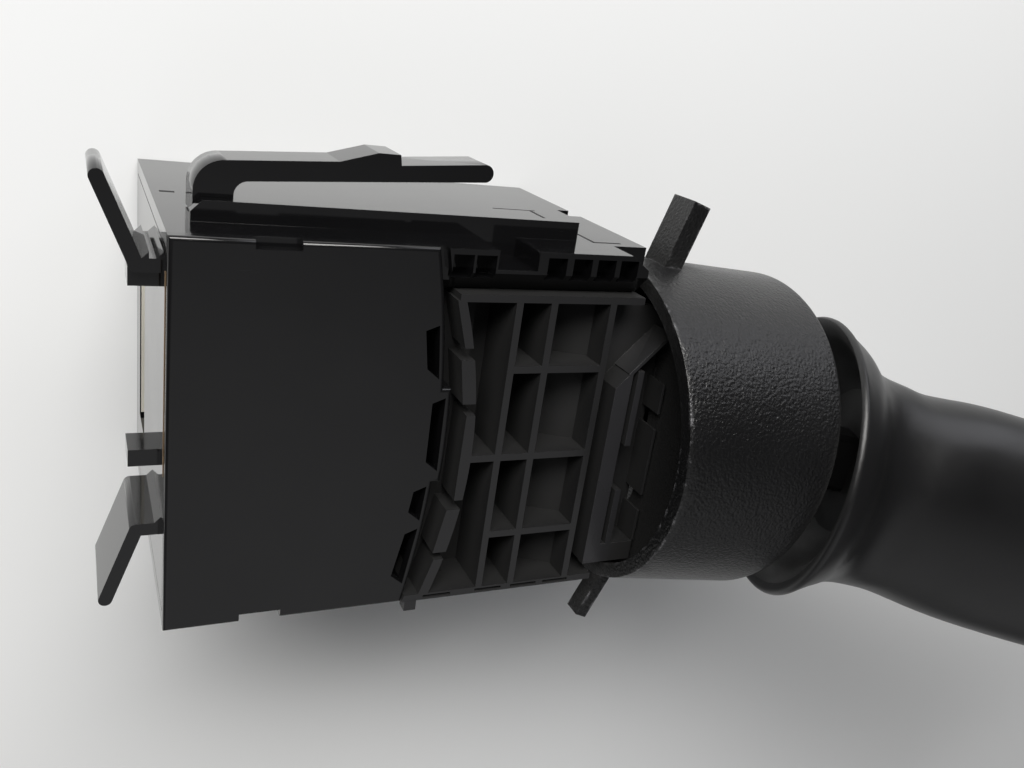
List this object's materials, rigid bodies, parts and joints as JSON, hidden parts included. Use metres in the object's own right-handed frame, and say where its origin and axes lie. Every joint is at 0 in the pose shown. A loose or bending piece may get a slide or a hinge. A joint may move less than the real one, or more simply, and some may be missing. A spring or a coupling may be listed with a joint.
{
  "type": "combination stalk switch",
  "caption": "Steering column stalk switch: plug-in switch box with a rib frame and release latch, a grained collar, and a drooping hollow lever with a bell flange, adjusting ring and end knob.",
  "frame": {"origin": "centre of the inner end face, the seat on the column bracket", "axes": "+X along the box towards the lever, +Y towards the release latch, +Z out of the front cover; the part lies on its back"},
  "size_m": [0.2092, 0.0677, 0.0928],
  "materials": {
    "housing_plastic": "moulded semi-gloss black",
    "cover_plastic": "moulded glossy black with fine scratches",
    "frame_plastic": "moulded satin black",
    "grained_plastic": "fine moulded grain, black",
    "lever_plastic": "satin black with faint scratches",
    "inner_plastic": "natural acetal and nylon",
    "board_laminate": "laminate board",
    "contact_brass": "stamped strip",
    "screw_steel": "zinc plated",
    "spring_steel": "drawn wire"
  },
  "bodies": {
    "switch_box": {"end_plate": "housing_plastic", "main_housing": "housing_plastic", "front_cover": "cover_plastic", "rear_cover": "housing_plastic", "circuit_board": "board_laminate", "board_screws": "screw_steel", "terminal_block": "housing_plastic", "terminal_pins": "contact_brass", "bearing_plate": "inner_plastic", "pivot_bridge": "inner_plastic", "plate_screws": "screw_steel", "rib_frame": "frame_plastic", "guide_comb": "frame_plastic", "collar": "grained_plastic", "slider_guide": "inner_plastic", "detent_block": "inner_plastic"},
    "latch": {"release_latch": "housing_plastic"},
    "yoke": {"yoke": "inner_plastic", "hinge_pin": "screw_steel", "drive_arm": "inner_plastic"},
    "slider": {"contact_slider": "inner_plastic", "contact_blades": "contact_brass"},
    "lever": {"lever_core": "lever_plastic", "dust_shield": "frame_plastic", "lever_shell": "lever_plastic", "tip_sleeve": "lever_plastic", "contact_plate": "board_laminate", "detent_spring": "spring_steel"},
    "plunger": {"detent_plunger": "inner_plastic"},
    "ring": {"adjust_ring": "lever_plastic"},
    "knob": {"end_knob": "lever_plastic", "end_cap": "lever_plastic", "knob_shaft": "inner_plastic"}
  },
  "joints": [
    {"name": "lever_swing", "type": "hinge", "parent": "switch_box", "child": "yoke", "pos_m": [0.035, 0, 0], "axis": [0, 0, 1], "range_deg": [-10, 10]},
    {"name": "lever_pull", "type": "hinge", "parent": "yoke", "child": "lever", "pos_m": [0.035, 0, 0], "axis": [-0.1094, -0.994, 0], "range_deg": [-4, 5], "stiffness_Nm_per_rad": 8},
    {"name": "slider_travel", "type": "slide", "parent": "switch_box", "child": "slider", "axis": [0, 1, 0], "range_m": [-0.0022, 0.0022]},
    {"name": "plunger_travel", "type": "slide", "parent": "lever", "child": "plunger", "axis": [0.9311, -0.1025, 0.35], "range_m": [0, 0.0012], "stiffness_N_per_m": 1500},
    {"name": "ring_turn", "type": "hinge", "parent": "lever", "child": "ring", "pos_m": [0.08775, -0.01224, 0.02009], "axis": [0.9311, -0.1025, 0.35], "range_deg": [-45, 45]},
    {"name": "knob_turn", "type": "hinge", "parent": "lever", "child": "knob", "pos_m": [0.08775, -0.01224, 0.02009], "axis": [0.9311, -0.1025, 0.35], "range_deg": [0, 60]},
    {"name": "latch_flex", "type": "hinge", "parent": "switch_box", "child": "latch", "pos_m": [0.0074, 0.0231, 0.01045], "axis": [0, 0, 1], "range_deg": [-5, 0], "stiffness_Nm_per_rad": 2.5}
  ],
  "couplings": [
    {"joint": "slider_travel", "follows": "lever_swing", "m_per_rad": -0.011928}
  ]
}
